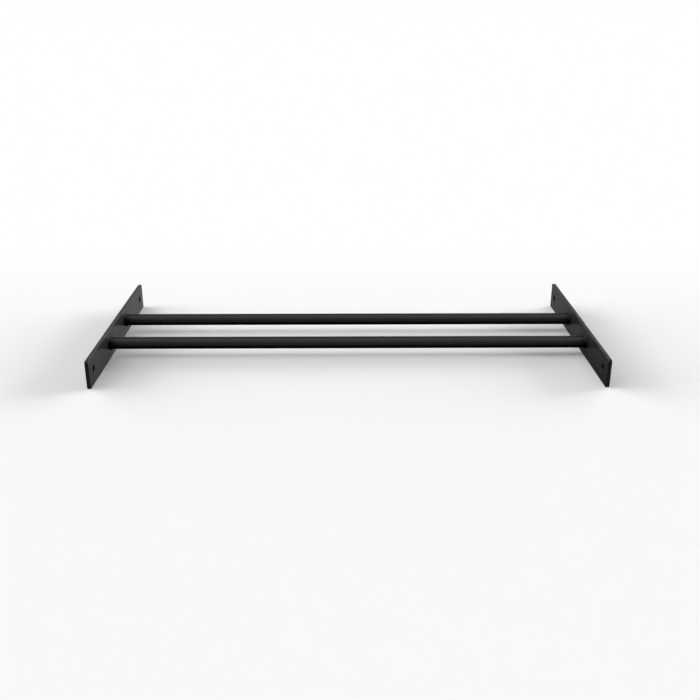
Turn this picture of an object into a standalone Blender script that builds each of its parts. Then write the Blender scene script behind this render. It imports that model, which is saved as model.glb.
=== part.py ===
"""Double kip bar: two round bars side by side, welded between two bolt-on end plates.

Blender 4.5, metres, +Z up. Run it with blender --background --python part.py, or from the
text editor. The bars run along X. The part stands on the long edges of its plates, with its
origin on the floor under its centre.
"""

import math

import bmesh
import bpy
from mathutils import Matrix

# Driving dimensions, in metres. Each one can be changed by itself.
OVERALL_LENGTH = 1.400  # outer face to outer face of the end plates
BAR_DIAMETER = 0.035
BAR_WALL = 0.0040
BAR_SPACING = 0.200  # centre to centre
PLATE_LENGTH = 0.680
PLATE_WIDTH = 0.080  # the plate's height as the part stands
PLATE_THICKNESS = 0.010
PLATE_CORNER_RADIUS = 0.007
PLATE_EDGE_BREAK = 0.0008  # chamfer on every sheared or cut edge
BOLT_HOLE_DIAMETER = 0.022  # clearance for an M20 bolt
BOLT_HOLE_END_DISTANCE = 0.045  # hole centre to the plate's end
WELD_LEG = 0.0035
WELD_BULGE = 0.0002  # how far the bead's face stands out from a straight fillet
JOINT_GAP = 0.0003  # between solids that touch on the real part

# Facets of the round shapes.
BAR_SEGMENTS = 64
HOLE_SEGMENTS = 48
CORNER_SEGMENTS = 6
BEAD_FACE_STEPS = 6
EDGE_ANGLE = math.radians(50)  # a sharper turn than this counts as an edge

# Worked out from the driving dimensions.
BAR_RADIUS = BAR_DIAMETER / 2
BAR_AXIS_HEIGHT = PLATE_WIDTH / 2
PLATE_INNER_FACE = OVERALL_LENGTH / 2 - PLATE_THICKNESS
PLATE_MIDDLE = OVERALL_LENGTH / 2 - PLATE_THICKNESS / 2
BAR_LENGTH = 2 * (PLATE_INNER_FACE - JOINT_GAP)
BOLT_HOLE_OFFSET = PLATE_LENGTH / 2 - BOLT_HOLE_END_DISTANCE

SIDES = {"left": -1, "right": 1}  # along X
ROWS = {"front": -1, "rear": 1}  # along Y
COATING_COLOUR = (0.034, 0.034, 0.035, 1.0)


def clear_scene():
    for obj in list(bpy.data.objects):
        bpy.data.objects.remove(obj, do_unlink=True)


def new_collection(name):
    collection = bpy.data.collections.new(name)
    bpy.context.scene.collection.children.link(collection)
    return collection


def powder_coat(name):
    """Matt black polyester powder coat, which hides the steel under it."""
    material = bpy.data.materials.new(name)
    material.use_nodes = True
    shader = material.node_tree.nodes["Principled BSDF"]
    shader.inputs["Base Color"].default_value = COATING_COLOUR
    shader.inputs["Roughness"].default_value = 0.55
    shader.inputs["Metallic"].default_value = 0.0
    return material


def new_object(name, shape, collection, parent):
    """An object made from a bmesh, which is freed."""
    mesh = bpy.data.meshes.new(name)
    shape.to_mesh(mesh)
    shape.free()
    obj = bpy.data.objects.new(name, mesh)
    obj.parent = parent
    collection.objects.link(obj)
    return obj


def hole_cutter(name, y, collection, parent):
    """A cylinder along X, longer than its plate is thick, that cuts one bolt hole."""
    shape = bmesh.new()
    bmesh.ops.create_cone(
        shape,
        cap_ends=True,
        segments=HOLE_SEGMENTS,
        radius1=BOLT_HOLE_DIAMETER / 2,
        radius2=BOLT_HOLE_DIAMETER / 2,
        depth=3 * PLATE_THICKNESS,
        matrix=Matrix.Rotation(math.pi / 2, 4, "Y"),
    )
    cutter = new_object(name, shape, collection, parent)
    cutter.location = (0, y, 0)
    cutter.hide_render = True
    cutter.display_type = "WIRE"
    return cutter


def plate_blank():
    """The plate as a flat bar with four rounded corners, centred on its own origin."""
    shape = bmesh.new()
    size = Matrix.Diagonal((PLATE_THICKNESS, PLATE_LENGTH, PLATE_WIDTH, 1))
    bmesh.ops.create_cube(shape, size=1, matrix=size)
    corners = [
        edge
        for edge in shape.edges
        if abs((edge.verts[0].co - edge.verts[1].co).x) > PLATE_THICKNESS / 2
    ]
    bmesh.ops.bevel(
        shape,
        geom=corners,
        offset=PLATE_CORNER_RADIUS,
        segments=CORNER_SEGMENTS,
        profile=0.5,
        affect="EDGES",
        material=-1,
    )
    return shape


def make_end_plate(side, coat, collection, cutters, parent):
    plate = new_object(f"{side}_end_plate", plate_blank(), collection, parent)
    plate.location = (SIDES[side] * PLATE_MIDDLE, 0, BAR_AXIS_HEIGHT)
    for row, direction in ROWS.items():
        cutter = hole_cutter(
            f"{side}_{row}_bolt_hole", direction * BOLT_HOLE_OFFSET, cutters, plate
        )
        cut = plate.modifiers.new(f"{row} bolt hole", "BOOLEAN")
        cut.operation = "DIFFERENCE"
        cut.object = cutter
    edges = plate.modifiers.new("Edge break", "BEVEL")
    edges.width = PLATE_EDGE_BREAK
    edges.segments = 1
    edges.limit_method = "ANGLE"
    edges.angle_limit = EDGE_ANGLE
    plate.data.materials.append(coat)
    return plate


def make_bar(row, coat, collection, parent):
    """A round tube, open at both ends, which the end plates close."""
    shape = bmesh.new()
    bmesh.ops.create_cone(
        shape,
        cap_ends=False,
        segments=BAR_SEGMENTS,
        radius1=BAR_RADIUS,
        radius2=BAR_RADIUS,
        depth=BAR_LENGTH,
    )
    bar = new_object(f"{row}_bar", shape, collection, parent)
    bar.location = (0, ROWS[row] * BAR_SPACING / 2, BAR_AXIS_HEIGHT)
    bar.rotation_euler = (0, math.pi / 2, 0)
    wall = bar.modifiers.new("Tube wall", "SOLIDIFY")
    wall.thickness = BAR_WALL
    wall.offset = -1
    bar.data.shade_smooth()
    bar.data.set_sharp_from_angle(angle=EDGE_ANGLE)
    bar.data.materials.append(coat)
    return bar


def bead_profile():
    """The fillet's cross-section as (distance from the bar's axis, distance from the plate).

    It runs from the toe on the plate over a slightly bulging face to the toe on the bar,
    and back through the root.
    """
    root_radius = BAR_RADIUS + JOINT_GAP
    bulge_direction = math.sqrt(0.5)
    points = []
    for step in range(BEAD_FACE_STEPS + 1):
        along = step / BEAD_FACE_STEPS
        bulge = WELD_BULGE * math.sin(math.pi * along) * bulge_direction
        points.append(
            (
                root_radius + WELD_LEG * (1 - along) + bulge,
                JOINT_GAP + WELD_LEG * along + bulge,
            )
        )
    points.append((root_radius, JOINT_GAP))
    return points


def make_weld(row, side, coat, collection, parent):
    """The fillet weld that runs right round one end of one bar."""
    shape = bmesh.new()
    ring = [shape.verts.new((radius, 0, -height)) for radius, height in bead_profile()]
    for start, end in zip(ring, ring[1:] + ring[:1]):
        shape.edges.new((start, end))
    weld = new_object(f"{row}_{side}_weld", shape, collection, parent)
    weld.location = (
        SIDES[side] * PLATE_INNER_FACE,
        ROWS[row] * BAR_SPACING / 2,
        BAR_AXIS_HEIGHT,
    )
    weld.rotation_euler = (0, SIDES[side] * math.pi / 2, 0)
    turn = weld.modifiers.new("Turned round the bar", "SCREW")
    turn.steps = BAR_SEGMENTS
    turn.render_steps = BAR_SEGMENTS
    turn.use_merge_vertices = True
    turn.merge_threshold = 0.00001
    turn.use_smooth_shade = True
    weld.data.materials.append(coat)
    return weld


def build():
    clear_scene()
    kip_bar = new_collection("kip_bar")
    cutters = new_collection("kip_bar_cutters")
    frame = bpy.data.objects.new("kip_bar_frame", None)
    kip_bar.objects.link(frame)
    coat = powder_coat("black_powder_coat")
    for side in SIDES:
        make_end_plate(side, coat, kip_bar, cutters, frame)
    for row in ROWS:
        make_bar(row, coat, kip_bar, frame)
        for side in SIDES:
            make_weld(row, side, coat, kip_bar, frame)


build()
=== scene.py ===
"""Looks of a double kip bar: two grip bars welded side by side between two bolt-on end plates.

Blender 4.5, metres, +Z up, with the bars along X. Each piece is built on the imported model's
own boxes and rides with it. The whole part is steel under one satin black powder coat, in a
version each for flat plate, tube, cut edges, bolt holes and welds.
"""

import math

import bmesh
import bpy
from mathutils import Matrix, Vector, noise


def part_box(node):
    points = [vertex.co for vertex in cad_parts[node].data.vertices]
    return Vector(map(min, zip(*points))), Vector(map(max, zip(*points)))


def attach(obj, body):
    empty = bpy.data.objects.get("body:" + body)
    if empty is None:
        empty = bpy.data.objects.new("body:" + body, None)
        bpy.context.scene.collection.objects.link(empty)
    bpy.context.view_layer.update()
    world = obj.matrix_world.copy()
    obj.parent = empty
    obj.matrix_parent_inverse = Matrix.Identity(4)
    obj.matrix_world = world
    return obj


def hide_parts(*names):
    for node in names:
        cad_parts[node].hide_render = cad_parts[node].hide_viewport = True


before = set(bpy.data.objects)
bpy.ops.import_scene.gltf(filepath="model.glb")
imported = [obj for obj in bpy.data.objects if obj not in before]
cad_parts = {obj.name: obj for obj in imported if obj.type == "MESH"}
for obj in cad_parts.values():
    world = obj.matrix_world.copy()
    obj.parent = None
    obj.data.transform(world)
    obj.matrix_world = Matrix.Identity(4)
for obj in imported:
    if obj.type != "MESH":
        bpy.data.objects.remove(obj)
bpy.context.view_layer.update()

MM = 0.001

# Sizes that the model's boxes don't give, in metres.
PLATE_CORNER_RADIUS = 7 * MM
PLATE_EDGE_RADIUS = 0.8 * MM
HOLE_DIAMETER = 22 * MM
HOLE_END_DISTANCE = 45 * MM  # hole centre to the plate's end
BAR_WALL = 4 * MM

# The fillet weld beads.
BEAD_CROWN = 0.15 * MM  # how far the face stands out from a straight fillet
BEAD_SINK = 0.4 * MM  # how far the hidden root reaches into the plate and the bar
TOE_WANDER = 0.3 * MM
TOE_WANDER_LENGTH = 9 * MM
RIPPLE_PITCH = 1.8 * MM
RIPPLE_HEIGHT = 0.22 * MM
RIPPLE_LAG = 0.8  # how many ripples the toes trail behind the middle of the bead
STOP_HUMP = 0.4 * MM  # where one run of weld ends over the start of the next
STOP_LENGTH = 5 * MM

# Seeds that make each bead, and its toe on the bar, wander in their own way.
ROW_SEED = 1.7
SIDE_SEED = 3.1
BAR_TOE_SEED = 5

# Facets of the round shapes.
CORNER_STEPS = 10
EDGE_STEPS = 4
HOLE_STEPS = 64
BAR_STEPS = 128
BAR_CUTS = 31  # rings along a bar
BEAD_FACE_STEPS = 10
BEAD_STEPS_PER_RIPPLE = 8
SHARP = math.radians(50)  # a sharper turn than this counts as an edge
DIAGONAL = math.sqrt(0.5)

EDGE_SLOT, BORE_SLOT = 1, 2  # a plate's material slots, after the one for its flat faces

SIDES = {"left": -1, "right": 1}  # along X
ROWS = {"front": -1, "rear": 1}  # along Y

# The powder coat. Shade is painted into its colour beside the joints, in the bolt holes and on
# the welds, and the last two are also duller. The painted shade is for the look alone, and
# isn't a property of the coat. A share of 0 is the plain coat, and 1 is the painted shade
# colour.
COAT_COLOUR = "#1A1A1A"
COAT_PALE = "#1F1F1F"  # what COAT_COLOUR drifts to and back
# the colour of the painted shade
PAINTED_SHADE_COLOUR = "#040404"
COAT_ROUGHNESS = 0.3
ROUGHNESS_DRIFT = 0.06
COAT_SPECULAR = 0.5
BEAD_SPECULAR = 0.08  # low, because the full sheen turns the bead into a light ring
# painted shade over the whole weld bead, for the shade in the joint
BEAD_PAINTED_SHADE = 0.9
BORE_SPECULAR = 0.3
# painted shade in the bolt holes
BORE_PAINTED_SHADE = 0.3
PAINTED_SHADE_REACH_ON_PLATE = 50 * MM  # how far the painted shade reaches out of an inside corner
PAINTED_SHADE_REACH_ON_BAR = 25 * MM
THROUGH_PLATE = 8  # how much more a distance through a plate counts
CLOUD_SIZE = 90 * MM  # of the slow drift in colour and roughness
GRAIN_SIZE = 1.1 * MM  # coarser than life, so that it shows
GRAIN_DEPTH = 0.08 * MM
PEEL_SIZE = 4.5 * MM
PEEL_DEPTH = 0.06 * MM

# Guessed marks in the steel that show through the coat: their size, depth and stretch along
# each axis, where less than 1 draws a mark out.
ROLLING_MARKS = (2.5 * MM, 0.03 * MM, (1, 0.02, 1))
DRAWING_MARKS = (2.5 * MM, 0.03 * MM, (0.02, 1, 1))
CUTTING_MARKS = (1.2 * MM, 0.1 * MM, (0.05, 1, 1))  # coarser than life, like the grain
SPATTER_MARKS = (2.0 * MM, 0.1 * MM, (1, 1, 1))

# The studio. Each light is a large soft source far away: its azimuth from +X towards +Y, its
# elevation and its width, in degrees, and its strength. The glows from below stand for light
# off the floor, which sends none itself.
STUDIO_LIGHTS = {
    "right_window": (20, 12, 30, 0.85),
    "right_window_rear": (50, 12, 30, 0.575),
    "left_window": (175, 15, 30, 0.42),
    "left_window_rear": (140, 15, 30, 0.495),
    "left_ceiling": (180, 40, 60, 0.425),
    "ceiling": (0, 85, 60, 0.21),
    "camera_side": (270, 40, 60, 0.14),
    "rear_wall_right": (75, 12, 30, 0.024),
    "rear_wall_left": (105, 12, 30, 0.028),
    "glow_behind_right": (80, -12, 20, 0.0085),
    "glow_behind_left": (100, -12, 20, 0.0103),
    "glow_below_right": (76, -20, 20, 0.0055),
    "glow_in_front": (270, -15, 40, 0.042),
}
FLOOR_REACH = 200
FLOOR_COLOUR = "#EDEDED"
FLOOR_PAINTED_LIGHT_BEHIND = "#F3F3F3"  # stands for the extra light behind the part
FLOOR_FADE = (0.1, 1.2)  # where along Y it goes from one to the other, in metres

CAMERA_PLACE = (-0.01763, -2.50611, 0.97632)
CAMERA_TURN = (0.00944, 0.37980, 0.00056)  # yaw, pitch down and roll, in radians
CAMERA_LENS = 45.53  # mm, on a sensor CAMERA_SENSOR wide
CAMERA_SENSOR = 36


# Meshes


def finished(name, shape, *materials):
    """An object made from a bmesh, which is freed, and shaded smooth."""
    bmesh.ops.recalc_face_normals(shape, faces=shape.faces[:])
    mesh = bpy.data.meshes.new(name)
    shape.to_mesh(mesh)
    shape.free()
    mesh.shade_smooth()
    for material in materials:
        mesh.materials.append(material)
    obj = bpy.data.objects.new(name, mesh)
    bpy.context.scene.collection.objects.link(obj)
    return obj


def stands_for(obj, node):
    """obj takes a CAD node's place, on the same body."""
    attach(obj, "root")
    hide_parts(node)


def plate_face(width, length):
    """A flat face in XY with rounded corners and a bolt hole near each end."""
    shape = bmesh.new()
    size = Matrix.Diagonal((width, length, 1, 1))
    bmesh.ops.create_grid(shape, x_segments=1, y_segments=1, size=0.5, matrix=size)
    bmesh.ops.bevel(
        shape,
        geom=shape.verts[:],
        offset=PLATE_CORNER_RADIUS,
        segments=CORNER_STEPS,
        profile=0.5,
        affect="VERTICES",
        material=-1,
    )
    bmesh.ops.delete(shape, geom=shape.faces[:], context="FACES_ONLY")
    for end in (-1, 1):
        centre = (0, end * (length / 2 - HOLE_END_DISTANCE), 0)
        bmesh.ops.create_circle(
            shape,
            segments=HOLE_STEPS,
            radius=HOLE_DIAMETER / 2,
            matrix=Matrix.Translation(centre),
        )
    bmesh.ops.triangle_fill(shape, use_beauty=True, edges=shape.edges[:])
    return shape


def in_bolt_hole(point, length):
    """Whether a point of a plate in XY is on the wall of a bolt hole."""
    along = abs(point.y) - (length / 2 - HOLE_END_DISTANCE)
    return math.hypot(point.x, along) < HOLE_DIAMETER / 2 + PLATE_EDGE_RADIUS


def end_plate(side, flat_coat, edge_coat, bore_coat):
    """The flat plate, with every cut edge softened and the cut faces in their own finishes."""
    node = f"{side}_end_plate"
    low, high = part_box(node)
    size = high - low
    shape = plate_face(size.z, size.y)
    raised = bmesh.ops.extrude_face_region(shape, geom=shape.faces[:])
    top = [item for item in raised["geom"] if isinstance(item, bmesh.types.BMVert)]
    bmesh.ops.translate(shape, verts=top, vec=(0, 0, size.x))
    bmesh.ops.recalc_face_normals(shape, faces=shape.faces[:])
    bmesh.ops.bevel(
        shape,
        geom=[edge for edge in shape.edges if edge.calc_face_angle() > SHARP],
        offset=PLATE_EDGE_RADIUS,
        segments=EDGE_STEPS,
        profile=0.5,
        affect="EDGES",
        material=-1,
    )
    for face in shape.faces:
        if abs(face.normal.z) < math.cos(SHARP):
            in_hole = in_bolt_hole(face.calc_center_median(), size.y)
            face.material_index = BORE_SLOT if in_hole else EDGE_SLOT
    upright = Matrix.Rotation(math.pi / 2, 4, "Y")
    place = Matrix.Translation((low.x, (low.y + high.y) / 2, (low.z + high.z) / 2))
    shape.transform(place @ upright)
    coats = flat_coat, edge_coat, bore_coat
    plate = finished(f"{side}_coated_end_plate", shape, *coats)
    flat = plate.modifiers.new("Flat faces stay flat", "WEIGHTED_NORMAL")
    flat.weight = 100
    stands_for(plate, node)


def bar_axis(row):
    """A bar's radius, and the middle of its axis."""
    low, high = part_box(f"{row}_bar")
    return (high.z - low.z) / 2, (low + high) / 2


def plate_inner_face(side):
    low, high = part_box(f"{side}_end_plate")
    return low.x if side == "right" else high.x


def grip_bar(row, coat):
    """A round tube that runs from plate to plate, spun from a section of its wall."""
    radius, middle = bar_axis(row)
    start, stop = plate_inner_face("left"), plate_inner_face("right")
    shape = bmesh.new()
    size = Matrix.Diagonal((stop - start, BAR_WALL, 1, 1))
    centre = Matrix.Translation((middle.x, radius - BAR_WALL / 2, 0))
    bmesh.ops.create_grid(
        shape, x_segments=1, y_segments=1, size=0.5, matrix=centre @ size
    )
    bmesh.ops.delete(shape, geom=shape.faces[:], context="FACES_ONLY")
    along = [edge for edge in shape.edges if edge.calc_length() > BAR_WALL * 2]
    bmesh.ops.subdivide_edges(shape, edges=along, cuts=BAR_CUTS)
    bmesh.ops.spin(
        shape,
        geom=shape.edges[:],
        cent=(0, 0, 0),
        axis=(1, 0, 0),
        angle=2 * math.pi,
        steps=BAR_STEPS,
        use_merge=True,
    )
    bmesh.ops.translate(shape, verts=shape.verts[:], vec=(0, middle.y, middle.z))
    bar = finished(f"{row}_grip_bar", shape, coat)
    bar.data.set_sharp_from_angle(angle=SHARP)
    stands_for(bar, f"{row}_bar")


def bead_section(shape, radius, leg):
    """A straight fillet in XY: x is the distance from the plate, and y from the bar's axis."""
    corners = [
        shape.verts.new((0, radius + leg, 0)),
        shape.verts.new((leg, radius, 0)),
        shape.verts.new((-BEAD_SINK, radius - BEAD_SINK, 0)),
    ]
    edges = [shape.edges.new((corners[i - 1], corners[i])) for i in range(3)]
    bmesh.ops.subdivide_edges(shape, edges=edges[1:2], cuts=BEAD_FACE_STEPS - 1)
    return shape.edges[:]


def wander(angle, radius, seed):
    """A slow drift between about -1 and 1 round the bar, which closes on itself."""
    reach = radius / TOE_WANDER_LENGTH
    return noise.noise((reach * math.cos(angle), reach * math.sin(angle), seed))


def ripple(angle, across, count):
    """The height, from 0 to 1, of the scale-like ripples that the weld pool leaves."""
    lag = RIPPLE_LAG * (2 * across - 1) ** 2
    return abs(math.sin(math.pi * (count * angle / (2 * math.pi) + lag)))


def lay_bead(shape, radius, leg, count, seed):
    """Turns a plain fillet ring about X into a weld bead that wanders and ripples."""
    stop = seed % (2 * math.pi)
    for vert in shape.verts:
        x, out = vert.co.x, math.hypot(vert.co.y, vert.co.z) - radius
        if x < 0:
            continue
        angle = math.atan2(vert.co.z, vert.co.y)
        across = x / leg
        x *= 1 + wander(angle, radius, seed) * TOE_WANDER / leg
        out *= 1 + wander(angle, radius, seed + BAR_TOE_SEED) * TOE_WANDER / leg
        from_stop = (angle - stop + math.pi) % (2 * math.pi) - math.pi
        hump = STOP_HUMP * math.exp(-((from_stop * radius / STOP_LENGTH) ** 2))
        rise = BEAD_CROWN + hump + RIPPLE_HEIGHT * ripple(angle, across, count)
        rise *= math.sin(math.pi * across) * DIAGONAL
        across_bar = Vector((0, vert.co.y, vert.co.z)).normalized()
        vert.co = across_bar * (radius + out + rise)
        vert.co.x = x + rise


def weld_bead(row, side, seed, coat):
    """The rippled fillet that runs right round one end of one bar."""
    node = f"{row}_{side}_weld"
    low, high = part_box(node)
    leg = high.x - low.x
    radius, middle = bar_axis(row)
    shape = bmesh.new()
    section = bead_section(shape, radius, leg)
    count = round(2 * math.pi * (radius + leg / 2) / RIPPLE_PITCH)
    bmesh.ops.spin(
        shape,
        geom=section,
        cent=(0, 0, 0),
        axis=(1, 0, 0),
        angle=2 * math.pi,
        steps=count * BEAD_STEPS_PER_RIPPLE,
        use_merge=True,
    )
    lay_bead(shape, radius, leg, count, seed)
    turn = Matrix.Rotation(math.pi if side == "right" else 0, 4, "Z")
    place = Matrix.Translation((plate_inner_face(side), middle.y, middle.z))
    shape.transform(place @ turn)
    bead = finished(f"{row}_{side}_weld_bead", shape, coat)
    stands_for(bead, node)


# Materials


def linear(hex_colour):
    """A linear RGBA colour from an sRGB hex value."""
    channels = [int(hex_colour[i : i + 2], 16) / 255 for i in (1, 3, 5)]
    decoded = [c / 12.92 if c < 0.04045 else ((c + 0.055) / 1.055) ** 2.4 for c in channels]
    return (*decoded, 1)


def add_node(tree, kind, inputs=None, **settings):
    """Adds a node, sets its properties, and gives each named input a value or a link."""
    made = tree.nodes.new(kind)
    for name, value in settings.items():
        setattr(made, name, value)
    for name, value in (inputs or {}).items():
        if isinstance(value, bpy.types.NodeSocket):
            tree.links.new(value, made.inputs[name])
        else:
            made.inputs[name].default_value = value
    return made


def times_plus(tree, value, weight, added=0.0):
    """value x weight + added."""
    inputs = {0: value, 1: weight, 2: added}
    return add_node(tree, "ShaderNodeMath", inputs, operation="MULTIPLY_ADD").outputs[0]


def noise_pattern(tree, place, size, detail=0, stretch=(1, 1, 1)):
    """Noise from 0 to 1 with features about size across."""
    inputs = {0: place, 1: stretch}
    stretched = add_node(tree, "ShaderNodeVectorMath", inputs, operation="MULTIPLY")
    inputs = {"Vector": stretched.outputs[0], "Scale": 1 / size, "Detail": detail}
    return add_node(tree, "ShaderNodeTexNoise", inputs).outputs["Fac"]


def blend(tree, share, first, second):
    """A colour that goes from first to second as share goes from 0 to 1."""
    inputs = {0: share, 6: first, 7: second}
    return add_node(tree, "ShaderNodeMix", inputs, data_type="RGBA").outputs[2]


def painted_corner_shade(tree, distance, reach):
    """The share of painted shade: 1 in an inside corner, falling smoothly to 0 at reach from
    it.
    """
    inputs = {"Value": distance, "From Max": reach, "To Min": 1, "To Max": 0}
    near = add_node(tree, "ShaderNodeMapRange", inputs, interpolation_type="SMOOTHSTEP")
    return near.outputs["Result"]


def from_joint(tree, place, weights):
    """Each axis's distance from the middle of the nearest welded joint, times its weight."""
    joint = (plate_inner_face("right"), *bar_axis("rear")[1].yz)
    folded = add_node(tree, "ShaderNodeVectorMath", {0: place}, operation="ABSOLUTE")
    inputs = {0: folded.outputs[0], 1: joint}
    apart = add_node(tree, "ShaderNodeVectorMath", inputs, operation="SUBTRACT")
    inputs = {0: apart.outputs[0], 1: weights}
    return add_node(tree, "ShaderNodeVectorMath", inputs, operation="MULTIPLY").outputs[0]


def painted_shade_beside_bars(tree, place):
    """Painted shade on the inner face of a plate, round the bars."""
    apart = from_joint(tree, place, (THROUGH_PLATE, 1, 1))
    length = add_node(tree, "ShaderNodeVectorMath", {0: apart}, operation="LENGTH")
    from_bar = times_plus(tree, length.outputs["Value"], 1, -bar_axis("rear")[0])
    return painted_corner_shade(tree, from_bar, PAINTED_SHADE_REACH_ON_PLATE)


def painted_shade_beside_plates(tree, place):
    """Painted shade at the two ends of a bar."""
    apart = from_joint(tree, place, (1, 0, 0))
    length = add_node(tree, "ShaderNodeVectorMath", {0: apart}, operation="LENGTH")
    return painted_corner_shade(tree, length.outputs["Value"], PAINTED_SHADE_REACH_ON_BAR)


def powder_coat(name, steel_marks, painted_shade, specular=COAT_SPECULAR):
    """Satin black powder coat, with a fine grain over faint orange peel.

    It drifts a little in colour and roughness. The share of painted shade in its colour is one
    number all over, or a function of the tree and the place.
    """
    material = bpy.data.materials.new(name)
    material.use_nodes = True
    tree = material.node_tree
    place = add_node(tree, "ShaderNodeTexCoord").outputs["Object"]
    mark_size, mark_depth, mark_stretch = steel_marks
    height = times_plus(tree, noise_pattern(tree, place, GRAIN_SIZE, 1), GRAIN_DEPTH)
    height = times_plus(tree, noise_pattern(tree, place, PEEL_SIZE), PEEL_DEPTH, height)
    marks = noise_pattern(tree, place, mark_size, 2, mark_stretch)
    height = times_plus(tree, marks, mark_depth, height)
    bump = add_node(tree, "ShaderNodeBump", {"Height": height, "Distance": 1})
    cloud = noise_pattern(tree, place, CLOUD_SIZE, 2)
    shade_share = painted_shade(tree, place) if callable(painted_shade) else painted_shade
    film = blend(tree, cloud, linear(COAT_COLOUR), linear(COAT_PALE))
    roughness = times_plus(tree, cloud, ROUGHNESS_DRIFT, COAT_ROUGHNESS - ROUGHNESS_DRIFT / 2)
    shader = tree.nodes["Principled BSDF"]
    shader.inputs["Specular IOR Level"].default_value = specular
    # mixes the painted shade into the coat's colour
    colour = blend(tree, shade_share, film, linear(PAINTED_SHADE_COLOUR))
    tree.links.new(colour, shader.inputs["Base Color"])
    tree.links.new(roughness, shader.inputs["Roughness"])
    tree.links.new(bump.outputs["Normal"], shader.inputs["Normal"])
    return material


def floor_paper():
    """Matt white paper, which shows the part's shadow, with painted light that makes it a
    little lighter behind the part.
    """
    material = bpy.data.materials.new("white_floor_paper")
    material.use_nodes = True
    tree = material.node_tree
    place = add_node(tree, "ShaderNodeTexCoord").outputs["Object"]
    along = add_node(tree, "ShaderNodeSeparateXYZ", {"Vector": place}).outputs["Y"]
    near, far = FLOOR_FADE
    inputs = {"Value": along, "From Min": near, "From Max": far}
    share = add_node(tree, "ShaderNodeMapRange", inputs, interpolation_type="SMOOTHSTEP")
    colour = blend(
        tree, share.outputs["Result"], linear(FLOOR_COLOUR), linear(FLOOR_PAINTED_LIGHT_BEHIND)
    )
    shader = tree.nodes["Principled BSDF"]
    tree.links.new(colour, shader.inputs["Base Color"])
    shader.inputs["Roughness"].default_value = 1
    shader.inputs["Specular IOR Level"].default_value = 0
    return material


# Studio


def floor():
    """A floor to the horizon, which sends no light to the part and lets the glows through."""
    shape = bmesh.new()
    bmesh.ops.create_grid(shape, x_segments=1, y_segments=1, size=FLOOR_REACH)
    obj = finished("floor", shape, floor_paper())
    obj.visible_diffuse = False
    obj.visible_glossy = False
    obj.visible_shadow = False


def soft_light(name, azimuth, elevation, width, strength):
    """A wide sun. At strength 1, matt white that faces it shows as full white."""
    data = bpy.data.lights.new(name, "SUN")
    data.energy = strength * math.pi
    data.angle = math.radians(width)
    obj = bpy.data.objects.new(name, data)
    bpy.context.scene.collection.objects.link(obj)
    turn = Matrix.Rotation(math.radians(azimuth), 4, "Z")
    tilt = Matrix.Rotation(math.radians(90 - elevation), 4, "Y")
    obj.matrix_world = turn @ tilt


def white_surroundings():
    """White past the floor's edge for the camera, which lights nothing."""
    world = bpy.data.worlds.new("white_surroundings")
    world.use_nodes = True
    tree = world.node_tree
    seen = add_node(tree, "ShaderNodeLightPath").outputs["Is Camera Ray"]
    background = tree.nodes["Background"]
    background.inputs["Color"].default_value = (1, 1, 1, 1)
    tree.links.new(seen, background.inputs["Strength"])
    bpy.context.scene.world = world


def camera():
    data = bpy.data.cameras.new("camera")
    data.lens = CAMERA_LENS
    data.sensor_width = CAMERA_SENSOR
    obj = bpy.data.objects.new("camera", data)
    bpy.context.scene.collection.objects.link(obj)
    yaw, pitch, roll = CAMERA_TURN
    obj.matrix_world = (
        Matrix.Translation(CAMERA_PLACE)
        @ Matrix.Rotation(-yaw, 4, "Z")
        @ Matrix.Rotation(math.pi / 2 - pitch, 4, "X")
        @ Matrix.Rotation(roll, 4, "Z")
    )
    bpy.context.scene.camera = obj


def build():
    # The plate and tube coats get painted shade beside the joints.
    plate_coat = powder_coat("powder_coat_on_plate", ROLLING_MARKS, painted_shade_beside_bars)
    edge_coat = powder_coat("powder_coat_on_cut_edges", CUTTING_MARKS, 0)
    tube_coat = powder_coat("powder_coat_on_tube", DRAWING_MARKS, painted_shade_beside_plates)
    bore_coat = powder_coat(
        "powder_coat_in_bolt_holes", CUTTING_MARKS, BORE_PAINTED_SHADE, BORE_SPECULAR
    )
    bead_coat = powder_coat(
        "powder_coat_on_welds", SPATTER_MARKS, BEAD_PAINTED_SHADE, BEAD_SPECULAR
    )
    for side in SIDES:
        end_plate(side, plate_coat, edge_coat, bore_coat)
    for row in ROWS:
        grip_bar(row, tube_coat)
        for side in SIDES:
            seed = ROW_SEED * ROWS[row] + SIDE_SEED * SIDES[side]
            weld_bead(row, side, seed, bead_coat)


build()
floor()
camera()
for name, settings in STUDIO_LIGHTS.items():
    soft_light(name, *settings)
white_surroundings()
bpy.context.scene.view_settings.view_transform = "Standard"
